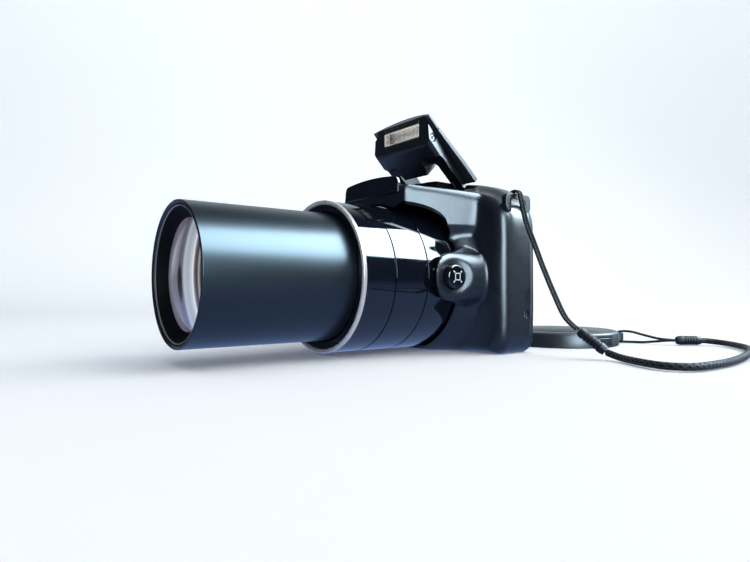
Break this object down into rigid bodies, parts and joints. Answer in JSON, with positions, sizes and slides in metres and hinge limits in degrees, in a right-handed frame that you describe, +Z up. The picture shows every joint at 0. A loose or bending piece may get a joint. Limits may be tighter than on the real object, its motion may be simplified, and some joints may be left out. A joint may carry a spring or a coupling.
{
  "type": "bridge camera",
  "caption": "Bridge camera with a sliding zoom lens in a stepped barrel, raised hinged flash, moulded grip body with rear screen and controls, and a tethered lens cap.",
  "frame": {"origin": "on the flat base, straight under the lens axis", "axes": "-Y is where the lens looks, +X is the left-hand side of the person holding it, +Z is up"},
  "size_m": [0.169, 0.2091, 0.095],
  "materials": {
    "housing_satin": "fine satin moulded",
    "gloss_black": "polished moulded",
    "inner_black": "matte",
    "tube_black": "satin black anodised",
    "bright_ring": "turned bright",
    "optical_glass": "coated",
    "flash_clear": "ribbed clear",
    "reflector": "bright",
    "lug_black": "satin black",
    "screw_black": "blackened",
    "steel": "plain",
    "cam_brass": "hard anodised",
    "board": "solder mask",
    "parts_dark": "moulded",
    "cell_grey": "wrapped",
    "screen_black": "hard coated",
    "control_satin": "satin",
    "shutter_metal": "spun",
    "soft_door": "soft matte",
    "lamp_amber": "tinted",
    "cap_satin": "satin",
    "cord_black": "braided",
    "crimp_black": "ribbed"
  },
  "bodies": {
    "camera": {"front_shell": "housing_satin", "rear_cover": "housing_satin", "hump_fascia": "gloss_black", "flash_tray": "inner_black", "strap_lug_left": "lug_black", "strap_lug_right": "lug_black", "tripod_socket": "steel", "housing_screws": "screw_black", "chassis": "steel", "main_board": "board", "sensor_unit": "parts_dark", "lcd_panel": "parts_dark", "lcd_window": "screen_black", "battery_bay": "inner_black", "battery": "cell_grey", "memory_card": "parts_dark", "usb_socket": "steel", "focus_lamp": "lamp_amber", "silver_ring": "bright_ring", "barrel_front": "gloss_black", "barrel_mid": "gloss_black", "barrel_base": "gloss_black", "lens_housing": "inner_black", "zoom_motor": "steel", "flash_pin": "steel", "flash_capacitor": "parts_dark", "lens_cap": "cap_satin", "camera_loop": "cord_black", "crimp_upper": "crimp_black", "tether_cord": "cord_black", "crimp_lower": "crimp_black", "cap_loop": "cord_black"},
    "zoom_tube": {"zoom_tube": "tube_black", "front_baffle": "inner_black", "lens_cell": "inner_black", "front_element": "optical_glass"},
    "cam_barrel": {"cam_barrel": "cam_brass"},
    "zoom_group": {"zoom_group": "inner_black", "zoom_glass": "optical_glass"},
    "flash": {"flash_case": "inner_black", "flash_cover": "housing_satin", "flash_window": "flash_clear", "flash_reflector": "reflector", "flash_tube": "flash_clear", "flash_screws": "screw_black"},
    "shutter_button": {"shutter_button": "shutter_metal"},
    "zoom_lever": {"zoom_lever": "control_satin"},
    "power_button": {"power_button": "control_satin"},
    "framing_button": {"framing_button": "gloss_black"},
    "movie_button": {"movie_button": "control_satin"},
    "play_button": {"play_button": "control_satin"},
    "auto_button": {"auto_button": "control_satin"},
    "menu_button": {"menu_button": "control_satin"},
    "direction_ring": {"direction_ring": "control_satin"},
    "set_button": {"set_button": "control_satin"},
    "battery_door": {"battery_door": "housing_satin"},
    "terminal_door": {"terminal_door": "soft_door"},
    "cap_latch_near": {"cap_latch_near": "cap_satin"},
    "cap_latch_far": {"cap_latch_far": "cap_satin"}
  },
  "joints": [
    {"name": "zoom_slide", "type": "slide", "parent": "camera", "child": "zoom_tube", "axis": [0, 1, 0], "range_m": [0, 0.048]},
    {"name": "cam_turn", "type": "hinge", "parent": "camera", "child": "cam_barrel", "pos_m": [0, 0, 0.0291], "axis": [0, 1, 0], "range_deg": [0, 150]},
    {"name": "group_slide", "type": "slide", "parent": "camera", "child": "zoom_group", "axis": [0, 1, 0], "range_m": [0, 0.024]},
    {"name": "flash_fold", "type": "hinge", "parent": "camera", "child": "flash", "pos_m": [0, 0.007, 0.065], "axis": [1, 0, 0], "range_deg": [0, 45]},
    {"name": "shutter_press", "type": "slide", "parent": "camera", "child": "shutter_button", "axis": [0, 0, -1], "range_m": [0, 0.0012], "stiffness_N_per_m": 400},
    {"name": "zoom_rock", "type": "hinge", "parent": "camera", "child": "zoom_lever", "pos_m": [-0.0495, -0.0025, 0.06], "axis": [0, 0, 1], "range_deg": [-18, 18], "stiffness_Nm_per_rad": 0.04},
    {"name": "power_press", "type": "slide", "parent": "camera", "child": "power_button", "axis": [0, 0, -1], "range_m": [0, 0.0006], "stiffness_N_per_m": 400},
    {"name": "framing_press", "type": "slide", "parent": "camera", "child": "framing_button", "axis": [-1, 0, 0], "range_m": [0, 0.0007], "stiffness_N_per_m": 400},
    {"name": "movie_press", "type": "slide", "parent": "camera", "child": "movie_button", "axis": [0, -1, 0], "range_m": [0, 0.0005], "stiffness_N_per_m": 400},
    {"name": "play_press", "type": "slide", "parent": "camera", "child": "play_button", "axis": [0, -1, 0], "range_m": [0, 0.0005], "stiffness_N_per_m": 400},
    {"name": "auto_press", "type": "slide", "parent": "camera", "child": "auto_button", "axis": [0, -1, 0], "range_m": [0, 0.0005], "stiffness_N_per_m": 400},
    {"name": "menu_press", "type": "slide", "parent": "camera", "child": "menu_button", "axis": [0, -1, 0], "range_m": [0, 0.0005], "stiffness_N_per_m": 400},
    {"name": "ring_rock", "type": "hinge", "parent": "camera", "child": "direction_ring", "pos_m": [-0.042, 0.0128, 0.022], "axis": [1, 0, 0], "range_deg": [-2.5, 2.5], "stiffness_Nm_per_rad": 0.04},
    {"name": "set_press", "type": "slide", "parent": "camera", "child": "set_button", "axis": [0, -1, 0], "range_m": [0, 0.0005], "stiffness_N_per_m": 400},
    {"name": "battery_door_hinge", "type": "hinge", "parent": "camera", "child": "battery_door", "pos_m": [-0.0406, 0, 0.0008], "axis": [0, -1, 0], "range_deg": [0, 95]},
    {"name": "terminal_door_hinge", "type": "hinge", "parent": "camera", "child": "terminal_door", "pos_m": [-0.0607, 0.0095, 0.032], "axis": [0, 0, -1], "range_deg": [0, 100]},
    {"name": "latch_near_squeeze", "type": "slide", "parent": "camera", "child": "cap_latch_near", "axis": [-0.9903, 0.1392, 0], "range_m": [0, 0.001], "stiffness_N_per_m": 400},
    {"name": "latch_far_squeeze", "type": "slide", "parent": "camera", "child": "cap_latch_far", "axis": [0.9903, -0.1392, 0], "range_m": [0, 0.001], "stiffness_N_per_m": 400}
  ],
  "couplings": [
    {"joint": "cam_turn", "follows": "zoom_slide", "rad_per_m": 54.541},
    {"joint": "group_slide", "follows": "zoom_slide", "ratio": 0.5}
  ]
}
